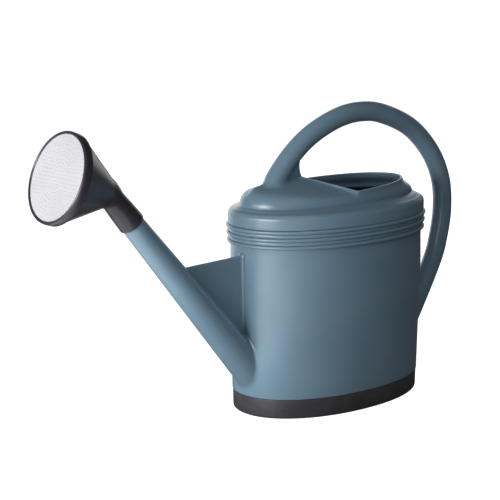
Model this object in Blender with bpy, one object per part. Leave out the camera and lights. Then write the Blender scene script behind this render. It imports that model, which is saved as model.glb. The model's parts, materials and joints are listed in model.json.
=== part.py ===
"""Oval plastic watering can with a carry handle, a straight spout and a push-on rose.

Metres, +Z up. The origin is the centre of the flat underside. The spout points to -X, the
handle's rear root is at +X, and the can is symmetric about the plane y = 0.
"""
import math

import bmesh
import bpy
from mathutils import Vector

MM = 0.001
GAP = 0.3 * MM                      # clearance kept between neighbouring pieces

# --- oval tank ---
OVAL_SIDES = 48
OVAL_POWER = 2.12                   # superellipse exponent of the oval section
TANK_HALF_LENGTH = 145.0 * MM       # at the lowest bead
TANK_HALF_WIDTH = 87.0 * MM
TANK_TAPER = 0.03                   # loss of size from the lowest bead down to the boot
TANK_WALL = 2.2 * MM
TANK_FLOOR = 2.6 * MM

# --- beads round the tank's top ---
BEADS_Z = 215.0 * MM                # lower edge of the lowest bead
BEAD_COUNT = 3
BEAD_WIDTH = 4.74 * MM              # also the width of the land between two beads
BEAD_HEIGHT = 2.5 * MM
BEAD_STEPS = 4                      # facets of a bead's half round
SEAM_Z = BEADS_Z + (2 * BEAD_COUNT - 1) * BEAD_WIDTH
BAND_GROWTH = 1.7 * MM              # the band above the beads is this much wider than the tank

# --- boot round the tank's foot ---
BOOT_HEIGHT = 25.0 * MM
BOOT_WALL = 2.6 * MM
BOOT_FLOOR = 3.0 * MM
BOOT_INSET = 0.6 * MM               # the boot's skin lies this far inside the tank's skin
FOOT_ROUND = 2.5 * MM

# --- top cover ---
BAND_TOP_Z = 247.5 * MM
BAND_EDGE_DROP = 2.0 * MM           # the band's last straight ring lies this far below its top
SHOULDER_DROP = 7.0 * MM            # inward reach of the rounded shoulder
SHOULDER_RISE = 10.5 * MM
SHOULDER_STEPS = 4
UNDER_SHOULDER_RISE = 7.8 * MM      # the lining under the shoulder, from the band's top
UNDER_SHOULDER_INSET = 9.5 * MM
CREASE_Z = 262.0 * MM               # foot of the dome
CREASE_HALF_LENGTH = 135.0 * MM
CREASE_HALF_WIDTH = 65.0 * MM
# From the crease to the mouth's edge: inset in mm where there is room, the most of the way to the
# mouth that the inset may take, and the share of the height gained.
DOME_PROFILE = [(-0.4, 1.0, 0.09), (0.5, 0.08, 0.22), (2.2, 0.22, 0.38), (5.5, 0.4, 0.53),
                (11.0, 0.6, 0.64), (20.0, 0.75, 0.7), (38.0, 0.88, 0.8), (60.0, 0.96, 0.91)]
SPIGOT_DEPTH = 9.0 * MM             # the cover's spigot reaches this far into the tank

# --- fill mouth: a V towards the spout and a round arc towards the rear ---
MOUTH_CENTRE_X = -2.0 * MM
MOUTH_REAR = 124.0 * MM
MOUTH_FRONT = 43.0 * MM
MOUTH_HALF_WIDTH = 58.0 * MM
MOUTH_V_POWER = 1.2
MOUTH_Z = 277.0 * MM
MOUTH_TIP_RISE = 14.0 * MM
MOUTH_REAR_RISE = 1.5 * MM
RIM_WIDTH = 3.2 * MM
RIM_ROUND = 0.9 * MM
RIM_DEPTH = 3.5 * MM
# The lining under the dome, in the profile's own terms.
LINING_FOOT_DROP = 2.0 * MM
LINING_FOOT_INSET = 2.8 * MM
LINING_PROFILE = [(38.0, 0.88, 0.78), (11.0, 0.6, 0.58), (2.0, 0.2, 0.3)]

# --- spout: straight, tapered, its axis in the plane y = 0 ---
SPOUT_ANGLE = math.radians(49.5)    # above the horizontal
SPOUT_OFFSET = 62.6 * MM            # distance of the axis from the origin
SPOUT_ROOT = 112.0 * MM             # distances along the axis
SPOUT_SHOULDER = 399.0 * MM
SPOUT_END = 424.0 * MM
SPOUT_TIP_RADIUS = 14.2 * MM
SPOUT_GROWTH = 0.0294               # radius gained per unit of length towards the tank
SPOUT_WALL = 2.2 * MM
SPIGOT_RADIUS = 11.6 * MM
SPIGOT_BORE = 9.4 * MM
SPIGOT_STEP = 0.1 * MM
PORT_REACH = 20.0 * MM              # how far the bore's cutter runs on into the tank
NECK_LENGTH = 6.0 * MM              # of the bore's narrowing below the spigot
TUBE_SIDES = 24

# --- web between spout and tank ---
WEB_THICKNESS = 5.0 * MM
WEB_TOP_Z = 203.5 * MM              # at the tank
WEB_TOP_SLOPE = 0.036
WEB_SPAN_X = (-245.0 * MM, -126.0 * MM)     # from inside the spout to inside the tank
WEB_FOOT_Z = 62.0 * MM
WEB_FOOT_ALONG = 135.0 * MM                 # along the spout's axis

# --- carry handle: centre line in the plane y = 0, as (x, z) in millimetres ---
HANDLE_ROUTE = [
    (-98, 246), (-96, 272), (-87, 295), (-62, 322), (-29, 345), (14, 362), (54, 367.5),
    (94, 362.5), (146, 341), (186, 305.5), (208, 266), (213, 225), (207, 187), (194, 151),
    (151, 77), (126, 42),
]
HANDLE_RADIUS = 12.9 * MM
HANDLE_BORE = 10.7 * MM
HANDLE_STEPS = 2                    # sections per stretch of the route
ROOT_FLARE = 6.0 * MM               # extra in-plane radius at the front root
ROOT_FLARE_LENGTH = 34.0 * MM
GUSSET_THICKNESS = 9.0 * MM
GUSSET_OUTLINE = [(-100, 262), (-50, 270), (-43, 288.5), (-47.5, 294), (-50.5, 302), (-50.5, 316),
                  (-62, 326), (-88, 300)]

# --- rose: collar on the spigot, elbow, flared horn, ring and perforated plate ---
ROSE_PITCH = math.radians(19.9)     # of the rose's axis above the horizontal
ROSE_CORNER = 450.0 * MM            # along the spout's axis, where the two axes meet
ROSE_LENGTH = 70.0 * MM             # from that corner to the face
COLLAR_RADII = [(0.0, 15.7), (1.5, 16.2), (24.0, 15.2), (38.0, 14.4)]   # along, radius, in mm
COLLAR_BORE = 13.5 * MM
COLLAR_CLEARANCE = 1.0 * MM         # from the spigot's end to the bottom of the collar's socket
HORN_WALL = 2.2 * MM
NECK_RADIUS = 19.5 * MM
HORN_RADIUS = 52.2 * MM             # at the ring
HORN_START = 4.0 * MM               # from the corner, along the rose's axis
MOUTH_SPIGOT_RADIUS = 50.2 * MM
RING_RADIUS = 53.8 * MM
RING_DEPTH = 9.5 * MM
RING_LIP = 1.6 * MM
RING_WINDOW_RADIUS = 49.8 * MM
RING_BACK_BEVEL = 0.5 * MM
RING_FRONT_BEVEL = 1.2 * MM
RING_FRONT_STEP = 0.35 * MM         # middle of the front bevel, which is slightly domed
RING_WINDOW_BEVEL = 0.4 * MM
PLATE_THICKNESS = 2.2 * MM
PLATE_HOLE_RADIUS = 1.2 * MM
PLATE_HOLE_PITCH = 13.0 * MM
PLATE_HOLE_RINGS = 3
PLATE_HOLE_SIDES = 6
FACE_SIDES = 40

# --- seal between collar and spigot ---
SEAL_START = 4.0 * MM               # from the spout's shoulder
SEAL_LENGTH = 17.0 * MM

SMOOTH_ANGLE = math.radians(40.0)

SPOUT_AXIS = Vector((-math.cos(SPOUT_ANGLE), 0.0, math.sin(SPOUT_ANGLE)))
SPOUT_NORMAL = Vector((math.sin(SPOUT_ANGLE), 0.0, math.cos(SPOUT_ANGLE)))
ROSE_AXIS = Vector((-math.cos(ROSE_PITCH), 0.0, math.sin(ROSE_PITCH)))
ROSE_UP = Vector((math.sin(ROSE_PITCH), 0.0, math.cos(ROSE_PITCH)))


# ---------------------------------------------------------------- scene and mesh helpers

def clear_scene():
    for obj in list(bpy.data.objects):
        bpy.data.objects.remove(obj, do_unlink=True)


def material(name, colour, roughness):
    mat = bpy.data.materials.new(name)
    mat.use_nodes = True
    shader = mat.node_tree.nodes["Principled BSDF"]
    shader.inputs["Base Color"].default_value = (*colour, 1.0)
    shader.inputs["Roughness"].default_value = roughness
    shader.inputs["Metallic"].default_value = 0.0
    return mat


def add_skin(bm, rings, looped):
    loops = [[bm.verts.new(point) for point in ring] for ring in rings]
    following = loops[1:] + ([loops[0]] if looped else [])
    for lower, upper in zip(loops, following):
        for i in range(len(lower)):
            j = (i + 1) % len(lower)
            bm.faces.new((lower[i], lower[j], upper[j], upper[i]))
    if not looped:
        bm.faces.new(list(reversed(loops[0])))
        bm.faces.new(loops[-1])


def loft(name, *bodies, mat=None, looped=False):
    """Object whose skins join equal rings of points, capped at both ends or looped round."""
    bm = bmesh.new()
    for rings in bodies:
        add_skin(bm, rings, looped)
    mesh = bpy.data.meshes.new(name)
    bm.to_mesh(mesh)
    bm.free()
    mesh.shade_smooth()
    mesh.set_sharp_from_angle(angle=SMOOTH_ANGLE)
    obj = bpy.data.objects.new(name, mesh)
    bpy.context.scene.collection.objects.link(obj)
    if mat:
        mesh.materials.append(mat)
    return obj


def guide(obj):
    """Mark an object as a construction tool."""
    obj.hide_render = True
    obj.display_type = "WIRE"
    return obj


def combine(target, tool, operation):
    mod = target.modifiers.new(tool.name, "BOOLEAN")
    mod.operation = operation
    mod.solver = "EXACT"
    mod.object = guide(tool)


def hang_on(parent, obj):
    """Parent an object to an empty at the joint, keeping its mesh where it is."""
    obj.data.transform(parent.matrix_world.inverted())
    obj.parent = parent


def joint_empty(name, point):
    empty = bpy.data.objects.new(name, None)
    empty.location = point
    bpy.context.scene.collection.objects.link(empty)
    bpy.context.view_layer.update()
    return empty


# ---------------------------------------------------------------- outlines

def signed_power(value, power):
    return math.copysign(abs(value) ** power, value)


def oval(half_length, half_width, z):
    """Superellipse of OVAL_SIDES points, anticlockwise from +X."""
    points = []
    for i in range(OVAL_SIDES):
        turn = 2 * math.pi * i / OVAL_SIDES
        x = signed_power(math.cos(turn), 2 / OVAL_POWER)
        y = signed_power(math.sin(turn), 2 / OVAL_POWER)
        points.append(Vector((half_length * x, half_width * y, z)))
    return points


def wall_ring(z, outset=0.0):
    """The tank's outline at height z, moved outwards by outset."""
    if z < BEADS_Z:
        scale = 1 - TANK_TAPER * (BEADS_Z - z) / (BEADS_Z - BOOT_HEIGHT)
        growth = outset
    else:
        scale = 1.0
        growth = outset + BAND_GROWTH * min((z - BEADS_Z) / (SEAM_Z - BEADS_Z), 1.0)
    return oval(TANK_HALF_LENGTH * scale + growth, TANK_HALF_WIDTH * scale + growth, z)


def crease_ring(z, outset=0.0):
    return oval(CREASE_HALF_LENGTH + outset, CREASE_HALF_WIDTH + outset, z)


def mouth_ring(inset, drop):
    """The fill mouth's edge: a round rear arc and a V at the front that climbs to its tip."""
    points = []
    half_width = MOUTH_HALF_WIDTH - inset
    for i in range(OVAL_SIDES):
        turn = 2 * math.pi * i / OVAL_SIDES
        forward = math.cos(turn) < 0
        reach = (MOUTH_FRONT if forward else MOUTH_REAR) - inset
        power = 2 / MOUTH_V_POWER if forward else 1.0
        x = reach * signed_power(math.cos(turn), power)
        y = half_width * signed_power(math.sin(turn), power)
        climb = (MOUTH_TIP_RISE if forward else MOUTH_REAR_RISE) * abs(x) / reach
        points.append(Vector((MOUTH_CENTRE_X + x, y, MOUTH_Z + climb - drop)))
    return points


def dome_ring(foot, edge, inset, most, rise):
    """Ring of the dome between its foot and the mouth's edge."""
    points = []
    for low, high in zip(foot, edge):
        reach = (high - low).xy.length
        point = low.lerp(high, min(inset / reach, most))
        point.z = low.z + (high.z - low.z) * rise
        points.append(point)
    return points


def raised(ring, lift):
    return [point + Vector((0, 0, lift)) for point in ring]


def tube_ring(centre, along, in_plane, sideways, sides):
    """Ellipse of points round a centre in the plane y = 0, square to the direction along."""
    normal = Vector((along.z, 0.0, -along.x))
    across = Vector((0.0, 1.0, 0.0))
    points = []
    for i in range(sides):
        turn = 2 * math.pi * i / sides
        points.append(centre + normal * in_plane * math.cos(turn) + across * sideways * math.sin(turn))
    return points


def turned(base, axis, profile, sides):
    """Rings of a body turned about an axis, from (distance along, radius) pairs."""
    return [tube_ring(base + axis * along, axis, radius, radius, sides) for along, radius in profile]


def spout_point(along):
    return SPOUT_AXIS * along - SPOUT_NORMAL * SPOUT_OFFSET


def spout_radius(along):
    return SPOUT_TIP_RADIUS + SPOUT_GROWTH * (SPOUT_SHOULDER - along)


# ---------------------------------------------------------------- tank, boot and top cover

def bead_rings():
    """Half-round beads with flat lands between them."""
    rings = []
    for bead in range(BEAD_COUNT):
        middle = BEADS_Z + (2 * bead + 0.5) * BEAD_WIDTH
        for step in range(BEAD_STEPS + 1):
            lean = math.pi * (step / BEAD_STEPS - 0.5)
            rings.append(wall_ring(middle + BEAD_WIDTH / 2 * math.sin(lean), BEAD_HEIGHT * math.cos(lean)))
    return rings


def tank_shell(mat):
    seat = -(BOOT_INSET + BOOT_WALL + GAP)
    foot = BOOT_FLOOR + GAP
    ledge = BOOT_HEIGHT + GAP
    outside = [wall_ring(foot, seat - FOOT_ROUND), wall_ring(foot + FOOT_ROUND, seat),
               wall_ring(ledge, seat), wall_ring(ledge + GAP, 0.0)]
    outside += [wall_ring(BEADS_Z * part) for part in (0.35, 0.6, 0.8)]
    outside += bead_rings()
    inside = [wall_ring(SEAM_Z, -TANK_WALL), wall_ring(BEADS_Z / 2, -TANK_WALL),
              wall_ring(ledge + 2 * TANK_WALL, -TANK_WALL), wall_ring(ledge, seat - TANK_WALL),
              wall_ring(foot + TANK_FLOOR, seat - TANK_WALL)]
    tank = loft("tank_shell", outside + inside, mat=mat)
    port = [(along, spout_radius(along) - SPOUT_WALL)
            for along in (SPOUT_ROOT - PORT_REACH, SPOUT_ROOT + 4 * PORT_REACH)]
    cutter = loft("spout_port_tool", turned(spout_point(0), SPOUT_AXIS, port, TUBE_SIDES))
    combine(tank, cutter, "DIFFERENCE")
    return tank


def base_boot(mat):
    skin = -BOOT_INSET
    lining = skin - BOOT_WALL
    rings = [wall_ring(0.0, skin - FOOT_ROUND), wall_ring(FOOT_ROUND / 3, skin - FOOT_ROUND / 3),
             wall_ring(FOOT_ROUND, skin), wall_ring(BOOT_HEIGHT - GAP, skin),
             wall_ring(BOOT_HEIGHT, skin - GAP), wall_ring(BOOT_HEIGHT, lining),
             wall_ring(BOOT_FLOOR, lining)]
    return loft("base_boot", rings, mat=mat)


def shoulder_rings(outset):
    """Rounded shoulder from the band up to the foot of the dome."""
    rings = []
    for step in range(SHOULDER_STEPS + 1):
        lean = math.pi / 2 * step / SHOULDER_STEPS
        inward = SHOULDER_DROP * (1 - math.cos(lean))
        rings.append(wall_ring(BAND_TOP_Z + SHOULDER_RISE * math.sin(lean), outset - inward))
    return rings


def dome_rings(outset):
    """Dome from its foot over the rounded side to the fill mouth's outer edge."""
    foot = crease_ring(CREASE_Z, outset)
    edge = mouth_ring(-outset, RIM_ROUND)
    return [foot] + [dome_ring(foot, edge, inset * MM, *shape) for inset, *shape in DOME_PROFILE] + [edge]


def top_cover(mat):
    band = [wall_ring(SEAM_Z + GAP), wall_ring(BAND_TOP_Z - BAND_EDGE_DROP)]
    dome = dome_rings(0.0)
    rim = [mouth_ring(RIM_ROUND, 0.0), mouth_ring(RIM_WIDTH - RIM_ROUND, 0.0),
           mouth_ring(RIM_WIDTH, RIM_ROUND), mouth_ring(RIM_WIDTH, RIM_DEPTH)]
    lining_foot = crease_ring(CREASE_Z - LINING_FOOT_DROP, -LINING_FOOT_INSET)
    lining = [dome_ring(lining_foot, rim[-1], inset * MM, *shape) for inset, *shape in LINING_PROFILE]
    spigot_skin = -(TANK_WALL + GAP)
    spigot_bore = spigot_skin - TANK_WALL
    inside = [lining_foot, wall_ring(BAND_TOP_Z + UNDER_SHOULDER_RISE, -UNDER_SHOULDER_INSET),
              wall_ring(BAND_TOP_Z, spigot_bore), wall_ring(SEAM_Z - SPIGOT_DEPTH, spigot_bore),
              wall_ring(SEAM_Z - SPIGOT_DEPTH, spigot_skin),
              wall_ring(SEAM_Z + GAP, spigot_skin)]
    return loft("top_cover", band + shoulder_rings(0.0) + dome + rim + lining + inside, mat=mat, looped=True)


def can_skin():
    """Solid of the whole can's outside, one gap larger, that trims what stands on it."""
    rings = [wall_ring(0.0, GAP), wall_ring(BEADS_Z, GAP), wall_ring(SEAM_Z, GAP)]
    rings += shoulder_rings(GAP)
    rings += [raised(ring, GAP) for ring in dome_rings(GAP)]
    rings += [raised(mouth_ring(inset, drop), GAP) for inset, drop in
              ((RIM_ROUND - GAP, 0.0), (RIM_WIDTH + GAP, 0.0), (RIM_WIDTH + GAP, RIM_WIDTH))]
    return loft("can_skin_tool", rings)


# ---------------------------------------------------------------- handle and spout

def plate(name, outline, thickness):
    """Flat plate in the plane y = 0 from an (x, z) outline in metres."""
    sides = [[Vector((x, y, z)) for x, z in outline] for y in (thickness / 2, -thickness / 2)]
    return loft(name, sides)


def smooth_route(points, steps):
    """Catmull-Rom curve through the points."""
    ends = [2 * points[0] - points[1]] + points + [2 * points[-1] - points[-2]]
    curve = []
    for a, b, c, d in zip(ends, ends[1:], ends[2:], ends[3:]):
        for i in range(steps):
            t = i / steps
            curve.append(0.5 * (2 * b + (c - a) * t + (2 * a - 5 * b + 4 * c - d) * t ** 2
                                + (3 * b - a - 3 * c + d) * t ** 3))
    return curve + [points[-1]]


def handle_rings(radius, sides, flare):
    route = smooth_route([Vector((x, 0, z)) * MM for x, z in HANDLE_ROUTE], HANDLE_STEPS)
    rings = []
    travelled = 0.0
    for i, centre in enumerate(route):
        before, after = route[max(i - 1, 0)], route[min(i + 1, len(route) - 1)]
        travelled += (centre - before).length
        spread = flare * math.exp(-(travelled / ROOT_FLARE_LENGTH) ** 2)
        along = (after - before).normalized()
        rings.append(tube_ring(centre, along, radius + spread, radius + spread / 3, sides))
    return rings


def carry_handle(mat, skin):
    handle = loft("carry_handle", handle_rings(HANDLE_RADIUS, TUBE_SIDES, ROOT_FLARE), mat=mat)
    gusset = [(x * MM, z * MM) for x, z in GUSSET_OUTLINE]
    combine(handle, plate("gusset_tool", gusset, GUSSET_THICKNESS), "UNION")
    combine(handle, loft("handle_bore_tool", handle_rings(HANDLE_BORE, TUBE_SIDES // 2, 0.0)), "DIFFERENCE")
    combine(handle, skin, "DIFFERENCE")
    return handle


def spout(mat, skin):
    outside = [(SPOUT_ROOT, spout_radius(SPOUT_ROOT)), (SPOUT_SHOULDER, SPOUT_TIP_RADIUS),
               (SPOUT_SHOULDER + SPIGOT_STEP, SPIGOT_RADIUS), (SPOUT_END, SPIGOT_RADIUS)]
    tube = loft("spout", turned(spout_point(0), SPOUT_AXIS, outside, TUBE_SIDES), mat=mat)
    top_front, top_rear = [(x, WEB_TOP_Z + WEB_TOP_SLOPE * (x + TANK_HALF_LENGTH)) for x in WEB_SPAN_X]
    foot_x = spout_point(WEB_FOOT_ALONG).x
    web = [top_front, (foot_x, WEB_FOOT_Z), (top_rear[0], WEB_FOOT_Z), top_rear]
    combine(tube, plate("web_tool", web, WEB_THICKNESS), "UNION")
    bore = [(along, spout_radius(along) - SPOUT_WALL)
            for along in (SPOUT_ROOT - PORT_REACH, SPOUT_SHOULDER - NECK_LENGTH)]
    bore += [(SPOUT_SHOULDER, SPIGOT_BORE), (SPOUT_END + NECK_LENGTH, SPIGOT_BORE)]
    combine(tube, loft("spout_bore_tool", turned(spout_point(0), SPOUT_AXIS, bore, TUBE_SIDES)), "DIFFERENCE")
    combine(tube, skin, "DIFFERENCE")
    return tube


# ---------------------------------------------------------------- rose

def collar_seal(mat):
    start = SPOUT_SHOULDER + SEAL_START
    outer, inner = COLLAR_BORE - 1.5 * GAP, SPIGOT_RADIUS + GAP
    profile = [(start, outer), (start + SEAL_LENGTH, outer), (start + SEAL_LENGTH, inner), (start, inner)]
    rings = turned(spout_point(0), SPOUT_AXIS, profile, TUBE_SIDES)
    return loft("collar_seal", rings, mat=mat, looped=True)


def rose_point(along):
    return spout_point(ROSE_CORNER) + ROSE_AXIS * along


def horn_profile(inset):
    """(distance from the corner, radius) pairs at the two ends of the conical horn."""
    return [(HORN_START, NECK_RADIUS - inset), (ROSE_LENGTH - RING_DEPTH, HORN_RADIUS - inset)]


def elbow_rings(collar_radius, neck_radius, sides):
    """Bend from the collar's axis to the rose's axis."""
    start = SPOUT_SHOULDER + COLLAR_RADII[-1][0] * MM
    first, corner, last = spout_point(start), rose_point(0), rose_point(HORN_START)
    rings = []
    for part in (0.3, 0.55, 0.8):
        centre = first.lerp(corner, part).lerp(corner.lerp(last, part), part)
        along = SPOUT_AXIS.lerp(ROSE_AXIS, part).normalized()
        radius = collar_radius + (neck_radius - collar_radius) * part
        rings.append(tube_ring(centre, along, radius, radius, sides))
    return rings


def rose_horn(mat):
    collar = [(SPOUT_SHOULDER + GAP + along * MM, radius * MM) for along, radius in COLLAR_RADII]
    mouth_end = ROSE_LENGTH - PLATE_THICKNESS - 2 * GAP
    outside = turned(spout_point(0), SPOUT_AXIS, collar, FACE_SIDES)
    outside += elbow_rings(collar[-1][1], NECK_RADIUS, FACE_SIDES)
    spigot = [(ROSE_LENGTH - RING_DEPTH + GAP, MOUTH_SPIGOT_RADIUS), (mouth_end, MOUTH_SPIGOT_RADIUS)]
    outside += turned(rose_point(0), ROSE_AXIS, horn_profile(0.0) + spigot, FACE_SIDES)
    bore_end = MOUTH_SPIGOT_RADIUS - HORN_WALL
    bore = [(mouth_end, bore_end), (ROSE_LENGTH - RING_DEPTH, bore_end)]
    bore += list(reversed(horn_profile(HORN_WALL)[:-1]))
    inside = turned(rose_point(0), ROSE_AXIS, bore, FACE_SIDES)
    throat = COLLAR_RADII[-1][1] * MM - HORN_WALL
    inside += list(reversed(elbow_rings(throat, NECK_RADIUS - HORN_WALL, FACE_SIDES)))
    stop = SPOUT_END + COLLAR_CLEARANCE
    collar_end = SPOUT_SHOULDER + COLLAR_RADII[-1][0] * MM
    socket = [(collar_end, throat), (stop, throat), (stop, COLLAR_BORE), (SPOUT_SHOULDER + GAP, COLLAR_BORE)]
    inside += turned(spout_point(0), SPOUT_AXIS, socket, FACE_SIDES)
    return loft("rose_horn", outside + inside, mat=mat, looped=True)


def rose_ring(mat):
    back = ROSE_LENGTH - RING_DEPTH + GAP
    front = ROSE_LENGTH + RING_LIP
    bore = MOUTH_SPIGOT_RADIUS + 1.5 * GAP
    profile = [(back, RING_RADIUS - RING_BACK_BEVEL), (back + RING_BACK_BEVEL, RING_RADIUS),
               (front - RING_FRONT_BEVEL, RING_RADIUS),
               (front - RING_FRONT_STEP, RING_RADIUS - RING_FRONT_STEP),
               (front, RING_RADIUS - RING_FRONT_BEVEL), (front, RING_WINDOW_RADIUS + RING_WINDOW_BEVEL),
               (front - RING_WINDOW_BEVEL, RING_WINDOW_RADIUS), (ROSE_LENGTH, RING_WINDOW_RADIUS),
               (ROSE_LENGTH, bore), (back, bore)]
    return loft("rose_ring", turned(rose_point(0), ROSE_AXIS, profile, FACE_SIDES), mat=mat, looped=True)


def plate_hole_places():
    """Centres of the plate's holes: hexagonal rings round a middle hole."""
    places = [(0.0, 0.0)]
    for ring in range(1, PLATE_HOLE_RINGS + 1):
        for i in range(6 * ring):
            turn = 2 * math.pi * i / (6 * ring)
            reach = ring * PLATE_HOLE_PITCH
            places.append((reach * math.cos(turn), reach * math.sin(turn)))
    return places


def rose_plate(mat):
    front = ROSE_LENGTH - GAP
    profile = [(front - PLATE_THICKNESS, MOUTH_SPIGOT_RADIUS), (front, MOUTH_SPIGOT_RADIUS)]
    disc = loft("rose_plate", turned(rose_point(0), ROSE_AXIS, profile, FACE_SIDES), mat=mat)
    drills = []
    for x, y in plate_hole_places():
        centre = rose_point(0) + ROSE_UP * x + Vector((0, y, 0))
        ends = [(front - 2 * PLATE_THICKNESS, PLATE_HOLE_RADIUS),
                (front + PLATE_THICKNESS, PLATE_HOLE_RADIUS)]
        drills.append(turned(centre, ROSE_AXIS, ends, PLATE_HOLE_SIDES))
    combine(disc, loft("plate_hole_tool", *drills), "DIFFERENCE")
    return disc


# ---------------------------------------------------------------- assembly

def build():
    clear_scene()
    body_blue = material("can_plastic", (0.13, 0.215, 0.285), 0.42)
    black = material("rose_plastic", (0.022, 0.022, 0.028), 0.38)
    boot_black = material("boot_plastic", (0.034, 0.032, 0.038), 0.55)
    white = material("plate_plastic", (0.78, 0.78, 0.80), 0.5)
    rubber = material("seal_rubber", (0.02, 0.02, 0.02), 0.7)

    tank_shell(body_blue)
    base_boot(boot_black)
    top_cover(body_blue)
    skin = can_skin()
    carry_handle(body_blue, skin)
    spout(body_blue, skin)

    rose_axis = joint_empty("rose_axis", spout_point(SPOUT_SHOULDER))
    face_axis = joint_empty("face_axis", rose_point(ROSE_LENGTH))
    for piece in (collar_seal(rubber), rose_horn(black)):
        hang_on(rose_axis, piece)
    for piece in (rose_ring(black), rose_plate(white)):
        hang_on(face_axis, piece)


build()
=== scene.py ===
"""Oval plastic watering can: the looks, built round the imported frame. Metres, +Z up, spout to -X."""

import json
import math

import bpy
import bmesh
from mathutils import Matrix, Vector
from mathutils.bvhtree import BVHTree
from mathutils.geometry import delaunay_2d_cdt

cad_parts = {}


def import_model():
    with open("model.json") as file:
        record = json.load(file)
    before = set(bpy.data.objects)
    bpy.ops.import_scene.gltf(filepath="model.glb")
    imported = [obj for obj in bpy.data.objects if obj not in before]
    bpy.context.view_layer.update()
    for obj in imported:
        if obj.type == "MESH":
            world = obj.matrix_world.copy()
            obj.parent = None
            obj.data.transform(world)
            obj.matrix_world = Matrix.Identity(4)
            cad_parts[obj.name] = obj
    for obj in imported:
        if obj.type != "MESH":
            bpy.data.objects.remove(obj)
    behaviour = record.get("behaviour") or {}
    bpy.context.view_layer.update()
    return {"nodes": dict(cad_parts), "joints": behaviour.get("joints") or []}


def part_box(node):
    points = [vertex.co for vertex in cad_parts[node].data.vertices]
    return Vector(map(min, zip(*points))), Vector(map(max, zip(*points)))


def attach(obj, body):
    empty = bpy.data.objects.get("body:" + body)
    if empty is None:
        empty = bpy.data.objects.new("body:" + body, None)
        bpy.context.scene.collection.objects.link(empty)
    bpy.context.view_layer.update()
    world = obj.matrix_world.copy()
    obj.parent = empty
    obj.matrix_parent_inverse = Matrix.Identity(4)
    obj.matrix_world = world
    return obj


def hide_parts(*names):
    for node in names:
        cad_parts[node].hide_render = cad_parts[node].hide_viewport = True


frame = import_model()

MM = 0.001
GAP = 0.3 * MM                      # clearance between pieces that meet
SIDES = 192                         # points round the tank
TUBE_SIDES = 64                     # points round the spout and the handle
FACE_SIDES = 128                    # points round the rose
CREASE_DEGREES = 35.0               # edges sharper than this aren't smoothed

# ---------------------------------------------------------------- places from the frame

JOINTS = {joint["name"]: joint for joint in frame["joints"]}
SPOUT_AXIS = Vector(JOINTS["rose_pull"]["axis"]).normalized()
ROSE_AXIS = Vector(JOINTS["face_pull"]["axis"]).normalized()
SPOUT_SHOULDER = Vector(JOINTS["rose_turn"]["pos_m"])   # on the spout's axis, where the collar ends
SPOUT_UP = Vector((SPOUT_AXIS.z, 0.0, -SPOUT_AXIS.x))
ROSE_UP = Vector((ROSE_AXIS.z, 0.0, -ROSE_AXIS.x))

TANK_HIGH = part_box("tank_shell")[1]
COVER_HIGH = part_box("top_cover")[1]
BOOT_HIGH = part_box("base_boot")[1]

# ---------------------------------------------------------------- sizes of the can

# --- tank and boot ---
OVAL_POWER = 2.12                   # 2 is an ellipse
BAND_GROWTH = 1.7 * MM              # outset of the band above the beads
TANK_HALF_LENGTH = COVER_HIGH.x - BAND_GROWTH
TANK_HALF_WIDTH = COVER_HIGH.y - BAND_GROWTH
TANK_TAPER = 0.03                   # share of the outline lost from the lowest bead to the boot
TANK_WALL = 2.2 * MM
SEAM_Z = TANK_HIGH.z                # between the tank and the top cover
BOOT_HEIGHT = BOOT_HIGH.z
BOOT_INSET = 0.6 * MM
BOOT_WALL = 2.6 * MM
BOOT_FLOOR = 3.0 * MM
FOOT_ROUND = 3.0 * MM
EDGE_ROUND = 0.9 * MM               # at the boot's top edge and the tank's step above it
# The boot's rounded foot: height, and the inset from its side.
BOOT_FOOT = [(0.0, FOOT_ROUND), (0.4 * MM, 1.7 * MM), (1.4 * MM, 0.6 * MM), (FOOT_ROUND, 0.0)]

# --- beads round the top of the tank, with lands between them ---
BEADS_Z = 215.0 * MM
BEAD_COUNT = 3
BEAD_WIDTH = (SEAM_Z - BEADS_Z) / (2 * BEAD_COUNT - 1)
BEAD_HEIGHT = 2.7 * MM
LAND_HEIGHT = 0.9 * MM              # the lands swell a little too
GROOVE_DEPTH = 1.7 * MM             # narrow groove at each edge of a bead
BEAD_POWER = 0.4                    # small: full beads and narrow grooves
BEAD_STEPS = 16

# --- top cover ---
BAND_TOP_Z = SEAM_Z + 8.8 * MM
SHOULDER_DROP = 7.0 * MM
SHOULDER_START = 3.2 * MM           # the band runs straight up to here before it rounds
SHOULDER_RISE = 10.5 * MM
SHOULDER_STEPS = 12
SHELF_SAG = 0.5 * MM                # swell of the shelf between the shoulder and the crease
CREASE_Z = 262.0 * MM               # the crease at the dome's foot
CREASE_HALF_LENGTH = 135.0 * MM
CREASE_HALF_WIDTH = 65.0 * MM
# From the crease to the mouth's edge: inset in mm where there is room, the most of the way to the
# mouth that the inset may take, and the share of the height gained.
DOME_PROFILE = [(0.1, 0.02, 0.1), (1.0, 0.1, 0.23), (2.8, 0.24, 0.37), (6.0, 0.42, 0.5),
                (11.5, 0.6, 0.61), (20.0, 0.75, 0.69), (38.0, 0.88, 0.8), (60.0, 0.96, 0.91)]
DOME_LINING = [(2.0, 0.2, 0.3), (11.0, 0.6, 0.58), (38.0, 0.88, 0.78)]
KEEL_HEIGHT = 4.0 * MM              # ridge on the dome in front of the handle, on the plane y = 0
KEEL_HALF_WIDTH = 6.0 * MM
KEEL_SPAN_X = (-134.0 * MM, -104.0 * MM)

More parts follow.
